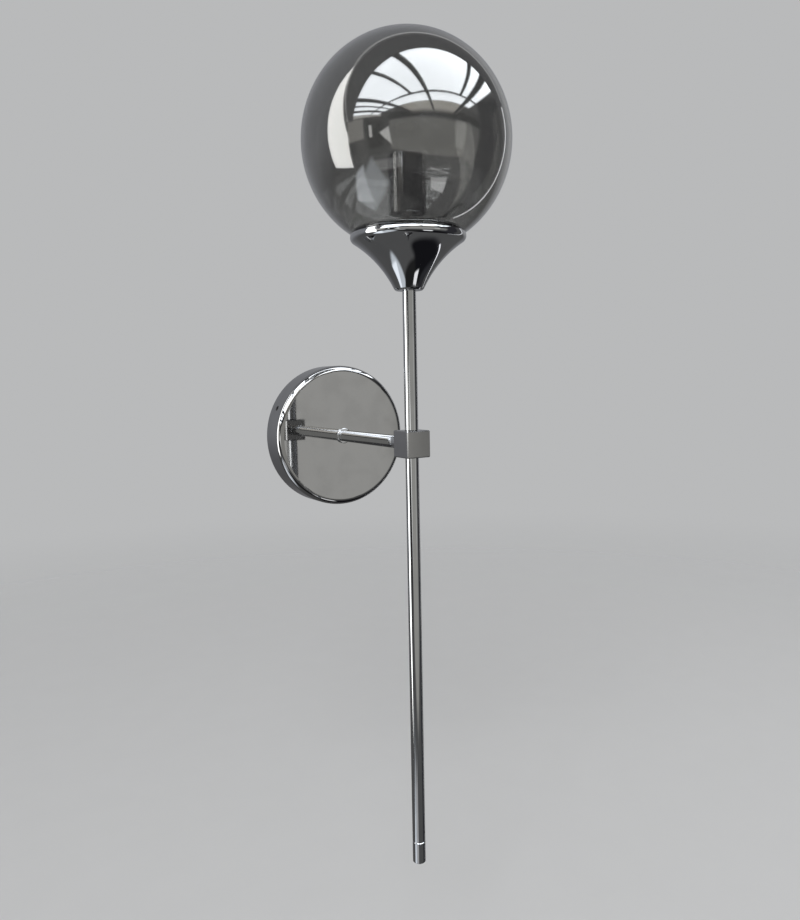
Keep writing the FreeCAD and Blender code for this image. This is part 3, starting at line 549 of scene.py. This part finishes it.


# What polished metal and glass mirror: the planes that bound each panel, the softness of its edge in
# degrees and its colour, where 1 is white and more is a lamp. Later rows lie in front of earlier ones.
# The rows are set to give the ball and the plating their large reflections. They don't light
# matt surfaces, and the camera doesn't see them.
LAMP = (4.4, 4.6, 4.8)
FRAME_BAR = (0.05, 0.05, 0.055)
WALL_SIDE = Vector((0, 1, -0.38)).normalized()
STUDIO = [
    ([toward(148, 0), toward(-170, 0), WALL_SIDE], 1.0, (0.27, 0.275, 0.29)),
    ([toward(35, 0), toward(-170, 0), WALL_SIDE], 12.0, (0.36, 0.365, 0.37)),
    ([toward(0, -80)], 15.0, (0.13, 0.13, 0.135)),
    ([toward(0, -65)], 3.0, (0.105, 0.105, 0.105)),
    (edges_of(side_panel(-50, 34, -19, 7.5)), 2.0, (0.39, 0.385, 0.36)),
    (edges_of(side_panel(33, 50, -20, 10)), 3.0, (0.26, 0.26, 0.25)),
    (edges_of(side_panel(20, 31.5, -13, 10)), 1.5, (0.56, 0.555, 0.53)),
    (edges_of([toward(-60, -27), toward(60, -27), toward(60, -57), toward(-60, -57)]), 4.0, (0.02, 0.02, 0.02)),
    (edges_of(side_panel(-55, 50, 7, 12)), 1.5, (0.03, 0.03, 0.03)),
    (edges_of(side_panel(-95, -50, -24, 18)), 3.0, (0.09, 0.09, 0.09)),
    (edges_of(side_panel(-74, -57, -16, 10)), 3.0, (0.015, 0.015, 0.015)),
    (edges_of(side_panel(-75, -38, -37, -27)), 2.0, (0.5, 0.5, 0.5)),
    (edges_of([toward(-60, -3), toward(-50, 2), toward(-48, -15), toward(-53, -11)]), 1.5, (1.6, 1.6, 1.55)),
    (edges_of(side_panel(-71, -68, -6, 5)), 0.8, (1.5, 1.5, 1.45)),
    (edges_of(side_panel(-96, -58, 12, 18)), 1.0, (1.2, 1.18, 1.1)),
    (edges_of(side_panel(-95, -77, -6, 12)), 1.5, (0.6, 0.58, 0.54)),
    (edges_of(side_panel(50, 97, -62, 28)), 4.0, (0.035, 0.035, 0.04)),
    (edges_of(side_panel(78, 94, -30, 24)), 2.0, (0.09, 0.09, 0.09)),
    (edges_of([toward(14, -36), toward(95, -36), toward(95, -85), toward(14, -85)]), 4.0, (0.01, 0.01, 0.012)),
    (edges_of(overhead_panel(-5.0, 5.0, -0.37, 0.13)), 1.5, (0.12, 0.12, 0.125)),
    (edges_of(overhead_panel(-5.0, 2.0, -0.39, -0.34)), 0.5, (0.7, 0.7, 0.7)),
    (edges_of(overhead_panel(-1.75, 1.2, 1.95, 3.3)), 3.0, (1.1, 1.05, 0.95)),
    (edges_of(overhead_panel(-3.6, 1.56, 0.12, 2.02)), 0.8, LAMP),
    (edges_of(overhead_panel(-3.15, -2.8, 0.1, 2.1)), 0.7, FRAME_BAR),
    (edges_of(overhead_panel(-2.42, -2.26, 0.1, 2.1)), 0.7, FRAME_BAR),
    (edges_of(overhead_panel(-1.96, -1.68, 0.1, 3.4)), 0.8, FRAME_BAR),
    (edges_of(overhead_panel(-0.75, -0.66, 0.1, 1.45)), 0.7, FRAME_BAR),
    (edges_of(overhead_panel(-0.27, -0.16, 0.1, 3.4)), 0.8, FRAME_BAR),
    (edges_of(overhead_panel(0.79, 0.88, 0.1, 1.45)), 0.7, FRAME_BAR),
    (edges_of(overhead_panel(1.08, 1.28, 0.1, 3.4)), 0.8, FRAME_BAR),
    (edges_of(overhead_panel(-3.6, 1.6, 1.36, 1.47)), 0.7, FRAME_BAR),
    (edges_of([toward(-122, -17), toward(-99, -26), toward(-95, 0), toward(-122, 56)]), 0.8, (3.7, 3.7, 3.6)),
    (edges_of([toward(-73, -24), toward(-60, -51), toward(-133, -62), toward(-126, -45)]), 3.0, (0.75, 0.8, 0.85)),
    (edges_of([toward(-99, -31), toward(-86, -28), toward(-110, -60), toward(-129, -47)]), 2.0, (1.35, 1.42, 1.5)),
    (edges_of([toward(3, -46), toward(26, -41), toward(36, -54), toward(11, -56)]), 1.5, (1.3, 1.3, 1.3)),
    (edges_of(side_panel(-2, 24, -38, -36)), 1.0, (0.6, 0.6, 0.6)),
    (edges_of(side_panel(96.8, 98.8, -46, 24)), 0.6, (1.8, 1.8, 1.85)),
]
STUDIO_BASE = (0.20, 0.20, 0.20, 1)


def studio_world():
    """Plain pale for the camera and through glass, even light on matt surfaces, the panels in mirrors."""
    world = bpy.data.worlds.new("studio")
    bpy.context.scene.world = world
    world.use_nodes = True
    tree = world.node_tree
    tree.nodes.clear()
    way = node(tree, "ShaderNodeTexCoord").outputs["Generated"]
    mirrored = STUDIO_BASE
    for normals, soft, colour in STUDIO:
        mirrored = blended(tree, inside(tree, way, normals, soft), mirrored, (*colour, 1))
    path = node(tree, "ShaderNodeLightPath")
    in_mirror = maths(tree, "GREATER_THAN", path.outputs["Glossy Depth"], 0.5)
    on_matt = maths(tree, "GREATER_THAN", path.outputs["Diffuse Depth"], 0.5)
    seen = blended(tree, in_mirror, (*background_tone, 1), mirrored)
    colour = blended(tree, on_matt, seen, (soft_light, soft_light, soft_light, 1))
    background = node(tree, "ShaderNodeBackground", {"Color": colour, "Strength": 1.0})
    node(tree, "ShaderNodeOutputWorld", {"Surface": background.outputs[0]})


def soft_box(name, place, aim, size, power):
    """Soft lamp, its power in watts, that neither the camera nor mirrors nor glass show."""
    lamp = bpy.data.lights.new(name, "AREA")
    lamp.shape = "RECTANGLE"
    lamp.size, lamp.size_y = size
    lamp.energy = power
    made = bpy.data.objects.new(name, lamp)
    made.location = place
    made.rotation_euler = (Vector(aim) - Vector(place)).to_track_quat("-Z", "Y").to_euler()
    made.visible_glossy = made.visible_transmission = made.visible_camera = False
    bpy.context.scene.collection.objects.link(made)


def pale_floor():
    """Round pale floor below the fixture that fades into the background, so that it shows no edge."""
    centre = Vector((0, (cad_low.y + cad_high.y) / 2, cad_low.z - floor_below))
    radii = np.linspace(0.0, 1.0, floor_rings) ** 1.5 * floor_radius
    flat = np.zeros(floor_rings)
    profile = np.stack([radii, flat, flat, np.ones(floor_rings)], axis=1)
    floor = turned("floor", profile, centre, floor_around)
    material, tree, principled, place = shader("floor")
    apart = node(tree, "ShaderNodeVectorMath", {0: place, 1: centre}, operation="DISTANCE")
    away = apart.outputs["Value"]
    fade = step_between(tree, away, 0.5, floor_radius * 0.9)
    mottle = noise(tree, place, 0.05)
    colour = blended(tree, mottle, (0.65, 0.655, 0.66, 1), (0.67, 0.675, 0.68, 1))
    into(tree, principled, Base_Color=colour, Roughness=0.9, Specular_IOR_Level=0.1)
    clear = node(tree, "ShaderNodeBsdfTransparent")
    mixed = node(tree, "ShaderNodeMixShader", {0: fade, 1: principled.outputs[0], 2: clear.outputs[0]})
    output = next(n for n in tree.nodes if n.type == "OUTPUT_MATERIAL")
    tree.links.new(mixed.outputs[0], output.inputs["Surface"])
    floor.data.materials.append(material)
    floor.visible_glossy = False


def photo_camera():
    """Camera at the photograph's place: yaw from +Y to the right, then pitch up, then roll."""
    data = bpy.data.cameras.new("camera")
    data.sensor_width = sensor
    data.lens = focal_px * sensor / frame_long_px
    data.clip_start = 0.02
    camera = bpy.data.objects.new("camera", data)
    forward = Vector((
        math.sin(camera_yaw) * math.cos(camera_pitch),
        math.cos(camera_yaw) * math.cos(camera_pitch),
        math.sin(camera_pitch),
    ))
    right = Vector((math.cos(camera_yaw), -math.sin(camera_yaw), 0))
    up = right.cross(forward)
    rolled_right = right * math.cos(camera_roll) + up * math.sin(camera_roll)
    rolled_up = up * math.cos(camera_roll) - right * math.sin(camera_roll)
    turn = Matrix((rolled_right, rolled_up, -forward)).transposed()
    camera.matrix_world = Matrix.Translation(camera_place) @ turn.to_4x4()
    bpy.context.scene.collection.objects.link(camera)
    bpy.context.scene.camera = camera


# ---------------------------------------------------------------- the scene
photo_camera()
studio_world()
soft_box("key", place=(-1.1, -1.3, 1.3), aim=(0, -0.1, 0), size=(1.0, 1.0), power=16.0)
soft_box("fill", place=(1.4, -1.2, 0.5), aim=(0, -0.1, 0), size=(1.2, 1.2), power=7.0)
pale_floor()
dress_nodes()
glass_ball()
spun_cup()
beaded_pan()

bpy.context.scene.view_settings.view_transform = "Standard"
